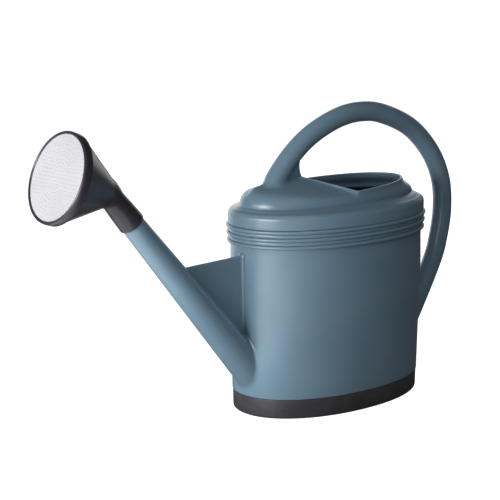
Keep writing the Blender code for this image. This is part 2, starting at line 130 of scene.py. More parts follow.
# --- fill mouth: a V in front and half an oval behind ---
MOUTH_CENTRE_X = -5.1 * MM
MOUTH_REAR = 124.5 * MM
MOUTH_FRONT = 50.2 * MM
MOUTH_HALF_WIDTH = 62.0 * MM
MOUTH_V_POWER = 1.1                 # 1 has straight sides
MOUTH_TIP_RISE = 17.2 * MM
MOUTH_REAR_RISE = 4.2 * MM
MOUTH_Z = COVER_HIGH.z - 13.7 * MM
RIM_WIDTH = 3.2 * MM
RIM_ROUND = 0.9 * MM
RIM_DEPTH = 1.8 * MM
RIM_STEPS = 4

# --- spout ---
SPOUT_TIP_RADIUS = 14.2 * MM
SPOUT_GROWTH = 0.0294               # radius gained for each unit of length towards the tank
SPOUT_BORE = 9.4 * MM
BORE_GROWTH = 1.0 * MM              # radius that the bore gains down to where it ends
BORE_END = 60.0 * MM                # back from the shoulder, out of sight
SPOUT_TIP_LENGTH = 20.0 * MM
SPOUT_REACH = 320.0 * MM            # back from the shoulder, to well inside the tank
SPOUT_STEPS = 40
SPIGOT_RADIUS = 11.6 * MM
SPIGOT_LENGTH = 25.0 * MM

# --- web between the spout and the tank ---
WEB_THICKNESS = 5.0 * MM
WEB_BOTTOM_Z = 92.0 * MM
WEB_TOP_Z = 203.5 * MM
WEB_STEPS = 26
WEB_ROUND = 3.0 * MM                # height of the rounded top edge
WEB_ROUND_STEPS = 6
WEB_CREST = 0.02                    # share of the thickness left at the very top
WEB_FLARE = 3.2 * MM                # radius of the flare where the web meets the spout and the tank
WEB_FLARE_STEPS = 8
WEB_TOP_SLOPE = 0.036
WEB_TOP_SWEEP = 7.0 * MM            # reach of the curve that lifts the top edge at the tank
WEB_SWEEP_RISE = 0.35               # lift at the tank, as a share of that reach
WEB_SWEEP_POWER = 2.5
WEB_SWEEP_DEPTH = 30.0 * MM         # the lift fades out this far below the top edge
WEB_IN_SPOUT = 4.0 * MM             # how far the web runs into the spout, and into the tank
WEB_IN_TANK = 2.0 * MM

# --- handle: centre line in the plane y = 0, as (x, z) in millimetres ---
HANDLE_ROUTE = [
    (-98, 246), (-96, 272), (-87, 295), (-62, 322), (-29, 345), (14, 362), (54, 367.5),
    (94, 362.5), (146, 341), (186, 305.5), (208, 266), (213, 225), (207, 187), (194, 151),
    (151, 77), (126, 42),
]
HANDLE_STEPS = 10                   # between two places of the route
HANDLE_RADIUS = 12.9 * MM
ROOT_FLARE = 6.0 * MM               # growth of the radius at the front root, along the can
ROOT_FLARE_LENGTH = 34.0 * MM
GUSSET_THICKNESS = 9.0 * MM
GUSSET_EDGE = [(-38, 262), (-43, 288.5), (-47.5, 294), (-50.5, 302), (-50.5, 311), (-47, 322)]
GUSSET_STEPS = 5
GUSSET_ROUND_STEPS = 16

# --- fillets where a tube meets the can ---
FRONT_FILLET = 7.0 * MM
REAR_FILLET = 5.0 * MM
SPOUT_FILLET = 6.0 * MM
FILLET_STEPS = 8
APPROACH_STEPS = 4                  # rings between the last whole ring and the fillet
HEM_REACH = 0.4 * MM                # the fillet's hem runs this far on, and this far under the skin
HEM_DEPTH = 0.6 * MM

# --- rose ---
ROSE_CORNER = 51.0 * MM             # from the spout's shoulder to where the two axes meet
ROSE_LENGTH = 70.0 * MM             # from that corner to the face
COLLAR_LIP_RADIUS = 16.2 * MM
COLLAR_MIDDLE, COLLAR_MIDDLE_RADIUS = 24.0 * MM, 15.2 * MM
COLLAR_END, COLLAR_END_RADIUS = 38.0 * MM, 14.4 * MM
COLLAR_ROUND = 0.8 * MM
COLLAR_BORE = 13.5 * MM
COLLAR_BORE_END = 26.0 * MM         # just past the spigot's tip
ELBOW_STEPS = 8
NECK_RADIUS = 19.5 * MM
HORN_RADIUS = 52.2 * MM
HORN_START = 4.0 * MM
HORN_STEPS = 12
HORN_WALL = 2.2 * MM
PLATE_RADIUS = 50.2 * MM
PLATE_THICKNESS = 2.2 * MM
PLATE_SEEN = PLATE_THICKNESS - 0.2 * MM   # depth of the visible plate
RING_DEPTH = 9.5 * MM
RING_RADIUS = 53.8 * MM
RING_BORE = PLATE_RADIUS + 0.45 * MM
RING_LIP = 1.6 * MM
RING_WINDOW_RADIUS = 49.8 * MM
RING_BEVEL = 1.2 * MM               # at the window's front edge
RING_ROUND = 0.7 * MM
RING_TAPER = 0.2 * MM               # radius lost at the back
# The ring's outer front edge: back from the front, and in from the ring's radius.
RING_EDGE = [(3.2 * MM, 0.0), (0.6 * MM, 0.8 * MM), (0.0, 2.2 * MM)]
HOLE_RADIUS = 0.4 * MM
HOLE_RINGS = 11
HOLE_PITCH = 4.25 * MM
HOLE_SIDES = 8
CUT_TOLERANCE = 1e-7

# ---------------------------------------------------------------- colours, lights and camera

DUST = (0.30, 0.28, 0.25)
SEAM_HALF_WIDTH = 0.5 * MM          # of the mould's parting line
BUMP_DISTANCE = 0.4 * MM
PLASTICS = {
    "can_plastic": dict(colour=(0.13, 0.215, 0.285), worn=(0.15, 0.24, 0.31), rough=0.31,
                        gloss=0.6, seam=0.5, dust_share=0.05),
    "boot_plastic": dict(colour=(0.034, 0.032, 0.038), worn=(0.046, 0.044, 0.050), rough=0.55,
                         grain=0.6, dust_share=0.10),
    "rose_plastic": dict(colour=(0.023, 0.020, 0.029), worn=(0.034, 0.030, 0.041), rough=0.32,
                         dust_share=0.03),
    "plate_plastic": dict(colour=(0.40, 0.40, 0.42), worn=(0.45, 0.45, 0.465), rough=0.5),
    "seal_rubber": dict(colour=(0.018, 0.018, 0.018), worn=(0.028, 0.028, 0.028), rough=0.7),
}

# Azimuth, elevation, distance, width, height, power, and whether it lights and whether it glints.
LIGHTS = {
    "key": (-88, 12, 2.2, 1.4, 0.8, 58.0, True, False),
    "glint": (-79, 12, 2.2, 2.1, 0.45, 48.0, False, True),
    "top": (-20, 50, 2.3, 1.6, 1.6, 13.0, True, False),
    "panel": (167, 9, 2.4, 2.1, 1.8, 19.0, True, True),
    "behind": (122, 15, 2.2, 1.0, 0.9, 3.0, True, True),
}
LIGHTS_AIM = (0.0, 0.0, 0.2)
# Glowing boards that lie on the floor and face up: azimuth, distance, width, depth, power.
BOARDS = {"board_behind": (168, 1.25, 1.3, 1.5, 7.0), "board_left": (-74, 0.85, 1.0, 0.9, 3.6)}
BOARD_HEIGHT = 2.0 * MM
PALE = 1.05                         # strength of the floor and the surroundings as they are seen
AMBIENT = 0.068                     # strength of the surroundings as a light
AMBIENT_COLOUR = (0.92, 0.96, 1.0)
FLOOR_BOUNCE = 0.2                  # grey of the floor as a reflector of light
FLOOR_HALF_WIDTH = 80.0

CAMERA_AZIMUTH = -39.6
CAMERA_ELEVATION = 11.34
CAMERA_DISTANCE = 1799.64 * MM
CAMERA_TARGET = Vector((-129.3, 0.0, 208.22)) * MM
CAMERA_SHIFT = 0.62 * MM            # of the target, to the left and up
CAMERA_LENS = 105.08
CAMERA_SENSOR = 36.0
CAMERA_CLIP = (0.05, 50.0)


# ---------------------------------------------------------------- materials

def new_material(name):
    mat = bpy.data.materials.new(name)
    mat.use_nodes = True
    return mat, mat.node_tree.nodes, mat.node_tree.links


def noise(nodes, links, coords, scale, detail=3.0, roughness=0.5):
    node = nodes.new("ShaderNodeTexNoise")
    node.inputs["Scale"].default_value = scale
    node.inputs["Detail"].default_value = detail
    node.inputs["Roughness"].default_value = roughness
    links.new(coords, node.inputs["Vector"])
    return node.outputs["Fac"]


def spread(nodes, links, value, low, high, to_low, to_high):
    """Map a value from one range to another, clamped."""
    node = nodes.new("ShaderNodeMapRange")
    limits = (("From Min", low), ("From Max", high), ("To Min", to_low), ("To Max", to_high))
    for name, number in limits:
        node.inputs[name].default_value = number
    links.new(value, node.inputs["Value"])
    return node.outputs["Result"]


def mixed(nodes, links, factor, colour_a, colour_b):
    node = nodes.new("ShaderNodeMix")
    node.data_type = "RGBA"
    links.new(factor, node.inputs["Factor"])
    for socket, colour in ((node.inputs["A"], colour_a), (node.inputs["B"], colour_b)):
        if isinstance(colour, tuple):
            socket.default_value = (*colour, 1.0)
        else:
            links.new(colour, socket)
    return node.outputs["Result"]


def summed(nodes, links, *terms):
    """Sum of (output, weight) terms."""
    total = None
    for output, weight in terms:
        node = nodes.new("ShaderNodeMath")
        node.operation = "MULTIPLY_ADD"
        links.new(output, node.inputs[0])
        node.inputs[1].default_value = weight
        if total is None:
            node.inputs[2].default_value = 0.0
        else:
            links.new(total, node.inputs[2])
        total = node.outputs["Value"]
    return total


def stretched(nodes, links, coords, scale):
    node = nodes.new("ShaderNodeMapping")
    node.inputs["Scale"].default_value = scale
    links.new(coords, node.inputs["Vector"])
    return node.outputs["Vector"]


def parting_line(nodes, links, coords, half_width):
    """1 on the mould's parting plane y = 0, falling to 0 beside it."""
    split = nodes.new("ShaderNodeSeparateXYZ")
    links.new(coords, split.inputs["Vector"])
    size = nodes.new("ShaderNodeMath")
    size.operation = "ABSOLUTE"
    links.new(split.outputs["Y"], size.inputs[0])
    return spread(nodes, links, size.outputs["Value"], 0.0, half_width, 1.0, 0.0)


def plastic(name, colour, worn, rough, gloss=0.5, grain=0.3, seam=0.0, dust_share=0.0):
    """Moulded plastic: cloudy colour, fine mould grain, faint drawn scuffs and a dusty haze."""
    mat, nodes, links = new_material(name)
    shader = nodes["Principled BSDF"]
    coords = nodes.new("ShaderNodeTexCoord").outputs["Object"]
    drawn = stretched(nodes, links, coords, (40.0, 40.0, 900.0))
    cloud = noise(nodes, links, coords, scale=14.0, detail=4.0, roughness=0.55)
    grainy = noise(nodes, links, coords, scale=1400.0, detail=2.0)
    ripple = noise(nodes, links, coords, scale=60.0, detail=2.0)
    scuffs = noise(nodes, links, drawn, scale=1.0, detail=4.0, roughness=0.7)

    tint = mixed(nodes, links, spread(nodes, links, cloud, 0.3, 0.7, 0.0, 1.0), colour, worn)
    scuff = spread(nodes, links, scuffs, 0.62, 0.78, 0.0, 0.35)
    scuffed = tuple(min(1.0, channel * 1.35 + 0.01) for channel in worn)
    tint = mixed(nodes, links, scuff, tint, scuffed)
    if dust_share:
        settled = noise(nodes, links, coords, scale=30.0, detail=6.0, roughness=0.65)
        haze = spread(nodes, links, settled, 0.45, 0.75, 0.0, dust_share)
        tint = mixed(nodes, links, haze, tint, DUST)
    links.new(tint, shader.inputs["Base Color"])

    shader.inputs["Specular IOR Level"].default_value = gloss
    mottled = summed(nodes, links, (cloud, 0.10), (grainy, 0.05), (scuff, 0.12))
    uneven = spread(nodes, links, mottled, 0.0, 0.2, rough - 0.07, rough + 0.07)
    links.new(uneven, shader.inputs["Roughness"])

    relief = [(grainy, 0.12 * grain), (ripple, 0.5 * grain), (scuffs, 0.1 * grain)]
    if seam:
        relief.append((parting_line(nodes, links, coords, SEAM_HALF_WIDTH), seam))
    bump = nodes.new("ShaderNodeBump")
    bump.inputs["Strength"].default_value = 0.35
    bump.inputs["Distance"].default_value = BUMP_DISTANCE
    links.new(summed(nodes, links, *relief), bump.inputs["Height"])
    links.new(bump.outputs["Normal"], shader.inputs["Normal"])
    return mat


def seen_or_lit(nodes, links, lit, seen, surface_socket):
    """One shader for what the eye sees directly, and another for light that bounces."""
    path = nodes.new("ShaderNodeLightPath")
    mix = nodes.new("ShaderNodeMixShader")
    links.new(path.outputs["Is Camera Ray"], mix.inputs["Fac"])
    links.new(lit, mix.inputs[1])
    links.new(seen, mix.inputs[2])
    links.new(mix.outputs["Shader"], surface_socket)


def floor_material():
    """Pale floor that glows for the eye and throws little light back."""
    mat, nodes, links = new_material("studio_floor")
    shader = nodes["Principled BSDF"]
    shader.inputs["Base Color"].default_value = (0.5, 0.5, 0.5, 1.0)
    shader.inputs["Roughness"].default_value = 0.9
    shader.inputs["Emission Color"].default_value = (1.0, 1.0, 1.0, 1.0)
    shader.inputs["Emission Strength"].default_value = PALE
    dim = nodes.new("ShaderNodeBsdfDiffuse")
    dim.inputs["Color"].default_value = (*[FLOOR_BOUNCE] * 3, 1.0)
    seen_or_lit(nodes, links, dim.outputs["BSDF"], shader.outputs["BSDF"],
                nodes["Material Output"].inputs["Surface"])
    return mat


# ---------------------------------------------------------------- mesh helpers

def skin(name, rings, mat, looped=False, caps=(True, True), crease=CREASE_DEGREES):
    """Object whose skin joins equal rings of points."""
    bm = bmesh.new()
    loops = [[bm.verts.new(point) for point in ring] for ring in rings]
    for lower, upper in zip(loops, loops[1:] + ([loops[0]] if looped else [])):
        for i in range(len(lower)):
            j = (i + 1) % len(lower)
            bm.faces.new((lower[i], lower[j], upper[j], upper[i]))
    if not looped:
        if caps[0]:
            bm.faces.new(list(reversed(loops[0])))
        if caps[1]:
            bm.faces.new(loops[-1])
    return finished(name, bm, mat, crease)


def finished(name, bm, mat, crease=CREASE_DEGREES):
    mesh = bpy.data.meshes.new(name)
    bm.to_mesh(mesh)
    bm.free()
    mesh.shade_smooth()
    mesh.set_sharp_from_angle(angle=math.radians(crease))
    mesh.materials.append(mat)
    obj = bpy.data.objects.new(name, mesh)
    bpy.context.scene.collection.objects.link(obj)
    return obj


def surface(obj):
    """Search tree of an object's mesh."""
    bm = bmesh.new()
    bm.from_mesh(obj.data)
    tree = BVHTree.FromBMesh(bm)
    bm.free()
    return tree


def smooth(points, steps):
    """Catmull-Rom curve through points, numbers or vectors alike."""
    ends = [2 * points[0] - points[1]] + points + [2 * points[-1] - points[-2]]
    curve = []
    for a, b, c, d in zip(ends, ends[1:], ends[2:], ends[3:]):
        for i in range(steps):
            t = i / steps
            curve.append(0.5 * (2 * b + (c - a) * t + (2 * a - 5 * b + 4 * c - d) * t ** 2
                                + (3 * b - a - 3 * c + d) * t ** 3))
    return curve + [points[-1]]


def bend(start, corner, end, t):
    """Value or vector at t on the curve from start to end that heads for the corner."""
    return (1 - t) ** 2 * start + 2 * t * (1 - t) * corner + t ** 2 * end


def rounded(start, corner, end, steps=5):
    """Points of a soft corner between two (distance, radius) places."""
    return [tuple(bend(a, b, c, i / steps) for a, b, c in zip(start, corner, end))
            for i in range(steps + 1)]


def softened(profile, radius):
    """Profile of (distance, radius) pairs with each inner corner rounded."""
    points = [profile[0]]
    for before, corner, after in zip(profile, profile[1:], profile[2:]):
        corner_v = Vector(corner)
        back, ahead = Vector(before) - corner_v, Vector(after) - corner_v
        reach = min(radius, back.length / 2.2, ahead.length / 2.2)
        start = corner_v + back.normalized() * reach
        end = corner_v + ahead.normalized() * reach
        points += rounded(tuple(start), corner, tuple(end), 4)
    return points + [profile[-1]]


def tube_ring(centre, along, in_plane, sideways, sides):
    """Ring across a tube that runs in a plane y = constant, with its two half widths."""
    normal = Vector((along.z, 0.0, -along.x))
    across = Vector((0.0, 1.0, 0.0))
    points = []
    for i in range(sides):
        turn = 2 * math.pi * i / sides
        points.append(centre + normal * in_plane * math.cos(turn)
                      + across * sideways * math.sin(turn))
    return points


def turned(base, axis, profile, sides):
    """Rings of a turned shape, from its profile of (distance, radius) pairs."""
    return [tube_ring(base + axis * along, axis, radius, radius, sides)
            for along, radius in profile]


# ---------------------------------------------------------------- tubes that run into the can

def entry(line, host):
    """Where a line first enters the host: the step, the point, and the host's normal there."""
    for k, (a, b) in enumerate(zip(line, line[1:])):
        step = b - a
        hit, normal, _, _ = host.ray_cast(a, step.normalized(), step.length)
        if hit is not None:
            return k, hit, normal
    raise ValueError("a tube misses its host")


def walked_back(line, step, point, reach):
    """The place this far back along a line from a point in one of its steps, and its step."""
    while (point - line[step]).length < reach:
        reach -= (point - line[step]).length
        point = line[step]
        step -= 1
    return point + (line[step] - point).normalized() * reach, step


def evenly(path, count):
    """Points at equal distances along a path, without its first."""
    spans = [(b - a).length for a, b in zip(path, path[1:])]
    total = sum(spans)
    points = []
    for i in range(1, count + 1):
        goal, n = total * i / count, 0
        while n < len(spans) - 1 and goal > spans[n]:
            goal -= spans[n]
            n += 1
        points.append(path[n].lerp(path[n + 1], min(1.0, goal / max(spans[n], 1e-9))))
    return points


def welded(rings, host, reach):
    """Cut rings of a tube where they enter the host's surface, and run them out in a fillet."""
    lines = [list(line) for line in zip(*rings)]
    fillets = []
    for line in lines:
        k, hit, normal = entry(line, host)
        start, last = walked_back(line, k, hit, reach)
        outward = hit - sum(rings[k], Vector()) / len(lines)
        outward -= normal * outward.dot(normal)
        landed, landed_normal, _, _ = host.find_nearest(hit + outward.normalized() * reach)
        fillets.append((last, start, hit, landed, landed_normal))
    keep = min(last for last, *_ in fillets)
    tails = []
    for line, (last, start, hit, landed, normal) in zip(lines, fillets):
        tail = evenly(line[keep:last + 1] + [start], APPROACH_STEPS)
        tail += [bend(start, hit, landed, i / FILLET_STEPS) for i in range(1, FILLET_STEPS + 1)]
        tail.append(landed + (landed - hit).normalized() * HEM_REACH - normal * HEM_DEPTH)
        tails.append(tail)
    return rings[:keep + 1] + [list(ring) for ring in zip(*tails)]


# ---------------------------------------------------------------- outlines of the can

def signed_power(value, power):
    return math.copysign(abs(value) ** power, value)


def oval(half_length, half_width, z):
    points = []
    for i in range(SIDES):
        turn = 2 * math.pi * i / SIDES
        x = signed_power(math.cos(turn), 2 / OVAL_POWER)
        y = signed_power(math.sin(turn), 2 / OVAL_POWER)
        points.append(Vector((half_length * x, half_width * y, z)))
    return points


def wall_ring(z, outset=0.0):
    """The tank's outline at a height: tapered below the beads, and wider in the band above."""
    if z < BEADS_Z:
        scale = 1 - TANK_TAPER * (BEADS_Z - z) / (BEADS_Z - BOOT_HEIGHT)
        growth = outset
    else:
        scale = 1.0
        growth = outset + BAND_GROWTH * min((z - BEADS_Z) / (SEAM_Z - BEADS_Z), 1.0)
    return oval(TANK_HALF_LENGTH * scale + growth, TANK_HALF_WIDTH * scale + growth, z)


def wall_rings(places):
    """Wall rings at (z, outset) places."""
    return [wall_ring(z, outset) for z, outset in places]


def crease_ring(z, outset=0.0):
    return oval(CREASE_HALF_LENGTH + outset, CREASE_HALF_WIDTH + outset, z)


def mouth_ring(inset, drop):
    points = []
    half_width = MOUTH_HALF_WIDTH - inset
    for i in range(SIDES):
        turn = 2 * math.pi * i / SIDES
        forward = math.cos(turn) < 0
        reach = (MOUTH_FRONT if forward else MOUTH_REAR) - inset
        power = 2 / MOUTH_V_POWER if forward else 1.0
        x = reach * signed_power(math.cos(turn), power)
        y = half_width * signed_power(math.sin(turn), power)
        climb = (MOUTH_TIP_RISE if forward else MOUTH_REAR_RISE) * abs(x) / reach
        points.append(Vector((MOUTH_CENTRE_X + x, y, MOUTH_Z + climb - drop)))
    return points


def dome_rings(foot, edge, profile, steps):
    """Rings from the dome's foot to the mouth's edge, through a profile of insets and rises."""
    lines = []
    for low, high in zip(foot, edge):
        reach = (high - low).xy.length
        shape = [Vector((min(inset * MM / reach, most), rise)) for inset, most, rise in profile]
        line = []
        for part in smooth([Vector((0.0, 0.0))] + shape + [Vector((1.0, 1.0))], steps):
            point = low.lerp(high, part.x)
            point.z = low.z + (high.z - low.z) * part.y
            line.append(point)
        lines.append(line)
    return [list(ring) for ring in zip(*lines)]


def keeled(point):
    """A point of the dome, raised where the keel runs."""
    first, last = KEEL_SPAN_X
    if not first < point.x < last:
        return point
    part = (point.x - first) / (last - first)
    rise = math.sin(math.pi / 2 * min(1.0, 4 * part))
    rise *= max(0.0, 1 - abs(point.y) / KEEL_HALF_WIDTH)
    return point + Vector((0, 0, KEEL_HEIGHT * rise))


# ---------------------------------------------------------------- the can

def tank_wall(mat):
    """Up the outside from the foot in the boot, over the beads, and down the inside."""
    seat = -(BOOT_INSET + BOOT_WALL)
    foot = BOOT_FLOOR + GAP
    ledge = BOOT_HEIGHT + GAP
    outside = wall_rings(softened([(foot, seat - FOOT_ROUND), (foot + FOOT_ROUND, seat),
                                   (ledge, seat), (ledge, 0.0), (BOOT_HEIGHT + 20 * MM, 0.0)],
                                  EDGE_ROUND))
    outside += [wall_ring(BEADS_Z * part) for part in (0.25, 0.4, 0.6, 0.8)]
    for band in range(2 * BEAD_COUNT - 1):
        height = LAND_HEIGHT if band % 2 else BEAD_HEIGHT
        for step in range(BEAD_STEPS):
            lean = math.pi * (step / BEAD_STEPS - 0.5)
            bulge = (height + GROOVE_DEPTH) * math.cos(lean) ** BEAD_POWER - GROOVE_DEPTH
            z = BEADS_Z + (band + 0.5 + math.sin(lean) / 2) * BEAD_WIDTH
            outside.append(wall_ring(z, bulge))
    outside.append(wall_ring(SEAM_Z, -GROOVE_DEPTH))
    lining = seat - TANK_WALL
    inside = [(z, -TANK_WALL) for z in (SEAM_Z, BEADS_Z * 0.7, BEADS_Z * 0.4, BOOT_HEIGHT + 4 * MM)]
    inside += [(BOOT_HEIGHT, lining), (foot + 9 * MM, lining), (foot + 4 * MM, lining - 2 * MM),
               (foot + 2.4 * MM, seat - 9 * MM)]
    return skin("tank_wall", outside + wall_rings(inside), mat)


def boot(mat):
    side, lining = -BOOT_INSET, -(BOOT_INSET + BOOT_WALL)
    places = [(z, side - inset) for z, inset in BOOT_FOOT]
    places += rounded((BOOT_HEIGHT - EDGE_ROUND, side), (BOOT_HEIGHT, side),
                      (BOOT_HEIGHT, side - EDGE_ROUND))
    places += [(BOOT_HEIGHT, lining), (BOOT_FLOOR, lining), (BOOT_FLOOR, lining - 5 * MM)]
    return skin("boot", wall_rings(places), mat)


def shoulder():
    rings = []
    for step in range(SHOULDER_STEPS + 1):
        lean = math.pi / 2 * step / SHOULDER_STEPS
        inward = SHOULDER_DROP * (1 - math.cos(lean))
        rise = SHOULDER_START + (SHOULDER_RISE - SHOULDER_START) * math.sin(lean)
        rings.append(wall_ring(BAND_TOP_Z + rise, -inward))
    return rings


def shelf(outer, inner):
    """Slightly swollen rings between the shoulder's edge and the crease."""
    rings = []
    for part in (0.3, 0.6, 0.85):
        swell = Vector((0, 0, SHELF_SAG * math.sin(math.pi * part)))
        rings.append([a.lerp(b, part) + swell for a, b in zip(outer, inner)])
    return rings


def mouth_rim():
    """Rounded rim of the fill mouth, from its outer edge over the top and down inside."""
    rings = []
    for step in range(1, RIM_STEPS + 1):
        lean = math.pi / 2 * step / RIM_STEPS
        rings.append(mouth_ring(RIM_ROUND * (1 - math.cos(lean)), RIM_ROUND * (1 - math.sin(lean))))
    for step in range(RIM_STEPS + 1):
        lean = math.pi / 2 * step / RIM_STEPS
        rings.append(mouth_ring(RIM_WIDTH - RIM_ROUND * (1 - math.sin(lean)),
                                RIM_ROUND * (1 - math.cos(lean))))
    return rings + [mouth_ring(RIM_WIDTH, RIM_DEPTH)]


def can_top(mat):
    """Band, shoulder, dome and rim outside, then the lining back down, in one closed skin."""
    band = wall_rings(softened([(SEAM_Z, -TANK_WALL), (SEAM_Z + GAP, 0.0),
                                (SEAM_Z + 4 * MM, 0.0)], 0.6 * MM))
    shoulders = shoulder()
    foot = crease_ring(CREASE_Z)
    dome = dome_rings(foot, mouth_ring(0.0, RIM_ROUND), DOME_PROFILE, 4)
    dome = [[keeled(point) for point in ring] for ring in dome]
    rim = mouth_rim()
    lining = dome_rings(crease_ring(CREASE_Z - 2.0 * MM, -2.8 * MM), rim[-1], DOME_LINING, 3)
    inside = [(BAND_TOP_Z + 7.8 * MM, -9.5 * MM), (BAND_TOP_Z, -2 * TANK_WALL)]
    rings = band + shoulders + shelf(shoulders[-1], foot) + dome + rim
    rings += list(reversed(lining))[1:] + wall_rings(inside)
    return skin("can_top", rings, mat, looped=True)


# ---------------------------------------------------------------- handle

def handle_x(z):
    """Where the handle's centre line stands at this height, on its front side."""
    for (ax, az), (bx, bz) in zip(HANDLE_ROUTE, HANDLE_ROUTE[1:]):
        if az * MM <= z <= bz * MM:
            return (ax + (bx - ax) * (z / MM - az) / (bz - az)) * MM
    return HANDLE_ROUTE[0][0] * MM


def handle_rings():
    route = smooth([Vector((x, 0, z)) * MM for x, z in HANDLE_ROUTE], HANDLE_STEPS)
    rings = []
    travelled = 0.0
    for i, centre in enumerate(route):
        before, after = route[max(i - 1, 0)], route[min(i + 1, len(route) - 1)]
        travelled += (centre - before).length
        flare = ROOT_FLARE * math.exp(-(travelled / ROOT_FLARE_LENGTH) ** 2)
        along = (after - before).normalized()
        rings.append(tube_ring(centre, along, HANDLE_RADIUS + flare, HANDLE_RADIUS + flare / 3,
                               TUBE_SIDES))
    return rings


def handle(mat, top, wall):
    rings = handle_rings()
    middle = len(rings) // 2
    front = welded(list(reversed(rings[:middle + 1])), surface(top), FRONT_FILLET)
    rear = welded(rings[middle:], surface(wall), REAR_FILLET)
    return skin("handle", list(reversed(front)) + rear[1:], mat, caps=(False, False))


def gusset(mat):
    """Thin fin under the handle's front root, with a rounded rear edge."""
    edge = smooth([Vector((x, 0, z)) * MM for x, z in GUSSET_EDGE], GUSSET_STEPS)
    rings = []
    half = GUSSET_THICKNESS / 2
    for point in edge:
        ring = []
        for step in range(GUSSET_ROUND_STEPS + 1):
            lean = math.pi * (step / GUSSET_ROUND_STEPS - 0.5)
            ring.append(point + Vector((half * (math.cos(lean) - 1), half * math.sin(lean), 0)))
        front_x = handle_x(point.z)
        ring += [Vector((front_x, half, point.z)), Vector((front_x, -half, point.z))]
        rings.append(ring)
    return skin("handle_gusset", rings, mat)


# ---------------------------------------------------------------- spout and web

def spout_point(along):
    """Point of the spout's axis, measured back from its shoulder towards the tank."""
    return SPOUT_SHOULDER - SPOUT_AXIS * along


def spout_radius(along):
    return SPOUT_TIP_RADIUS + SPOUT_GROWTH * along


def spout_tube(mat, wall):
    """Bore and spigot at the tip, then the tapered tube down to the tank's wall."""
    tip = [(SPIGOT_LENGTH, SPOUT_BORE), (SPIGOT_LENGTH, SPIGOT_RADIUS), (0.0, SPIGOT_RADIUS),
           (0.0, SPOUT_TIP_RADIUS), (-SPOUT_TIP_LENGTH, spout_radius(SPOUT_TIP_LENGTH))]
    profile = [(-BORE_END, SPOUT_BORE + BORE_GROWTH)] + softened(tip, 0.6 * MM)
    for i in range(1, SPOUT_STEPS + 1):
        along = SPOUT_TIP_LENGTH + (SPOUT_REACH - SPOUT_TIP_LENGTH) * i / SPOUT_STEPS
        profile.append((-along, spout_radius(along)))
    rings = turned(SPOUT_SHOULDER, SPOUT_AXIS, profile, TUBE_SIDES)
    joined = welded(rings, surface(wall), SPOUT_FILLET)
    return skin("spout_tube", joined, mat, caps=(True, False))


def web_heights():
    straight_top = WEB_TOP_Z - WEB_ROUND
    heights = [WEB_BOTTOM_Z + (straight_top - WEB_BOTTOM_Z) * i / WEB_STEPS
               for i in range(WEB_STEPS + 1)]
    heights += [WEB_TOP_Z - WEB_ROUND * (1 - math.sin(math.pi / 2 * i / WEB_ROUND_STEPS))
                for i in range(1, WEB_ROUND_STEPS + 1)]
    return heights


def web_side(tube_x, wall_x):
    """One side of the web at a height, as (x, y) from inside the spout to inside the tank."""
    half = WEB_THICKNESS / 2
    span = wall_x - tube_x
    side = []
    for i in range(WEB_FLARE_STEPS + 1):
        reach = WEB_FLARE * i / WEB_FLARE_STEPS
        sunk = math.sqrt(WEB_FLARE ** 2 - (WEB_FLARE - reach) ** 2)
        side.append((tube_x + reach, half + WEB_FLARE - sunk))
    if span < 2.2 * WEB_FLARE:      # no room for two flares
        side = [(tube_x + span * i / (2 * WEB_FLARE_STEPS + 1), half)
                for i in range(WEB_FLARE_STEPS + 1)]
    side += [(wall_x - (x - tube_x), y) for x, y in reversed(side)]
    return [(tube_x - WEB_IN_SPOUT, side[0][1])] + side + [(wall_x + WEB_IN_TANK, side[-1][1])]


def web_lift(x, z, wall_x):
    """How far the web's slope and its sweep at the tank raise a point."""
    slope = WEB_TOP_SLOPE * (x + TANK_HALF_LENGTH) * (z - WEB_BOTTOM_Z) / (WEB_TOP_Z - WEB_BOTTOM_Z)
    near = max(0.0, 1 - (wall_x - x) / WEB_TOP_SWEEP)
    high = max(0.0, (z - WEB_TOP_Z) / WEB_SWEEP_DEPTH + 1)
    return slope + WEB_SWEEP_RISE * WEB_TOP_SWEEP * near ** WEB_SWEEP_POWER * high


def web(mat):
    """Thin fin between the spout's upper side and the tank, flared where it meets them."""
    rings = []
    for z in web_heights():
        wall_x = min(point.x for point in wall_ring(z))
        along = (SPOUT_SHOULDER.z - z) / SPOUT_AXIS.z
        edge = spout_point(along) + SPOUT_UP * spout_radius(along)
        tube_x = edge.x + (z - edge.z) / SPOUT_AXIS.z * SPOUT_AXIS.x
        cap = max(0.0, (z - (WEB_TOP_Z - WEB_ROUND)) / WEB_ROUND)
        slim = math.sqrt(max(0.0, 1 - cap ** 2)) * (1 - WEB_CREST) + WEB_CREST
        side = [Vector((x, y * slim, z + web_lift(x, z, wall_x)))
                for x, y in web_side(tube_x, wall_x)]
        rings.append(side + [Vector((p.x, -p.y, p.z)) for p in reversed(side)])
    return skin("spout_web", rings, mat, crease=50.0)


# ---------------------------------------------------------------- rose

def rose_point(along):
    return SPOUT_SHOULDER + SPOUT_AXIS * ROSE_CORNER + ROSE_AXIS * along


def elbow(collar_radius, neck_radius):
    """Rings that turn from the collar's end into the horn's neck."""
    start = SPOUT_SHOULDER + SPOUT_AXIS * COLLAR_END
    corner, last = rose_point(0), rose_point(HORN_START)
    rings = []
    for step in range(1, ELBOW_STEPS):
        part = step / ELBOW_STEPS
        centre = start.lerp(corner, part).lerp(corner.lerp(last, part), part)
        along = SPOUT_AXIS.lerp(ROSE_AXIS, part).normalized()
        radius = collar_radius + (neck_radius - collar_radius) * part
        rings.append(tube_ring(centre, along, radius, radius, FACE_SIDES))
    return rings


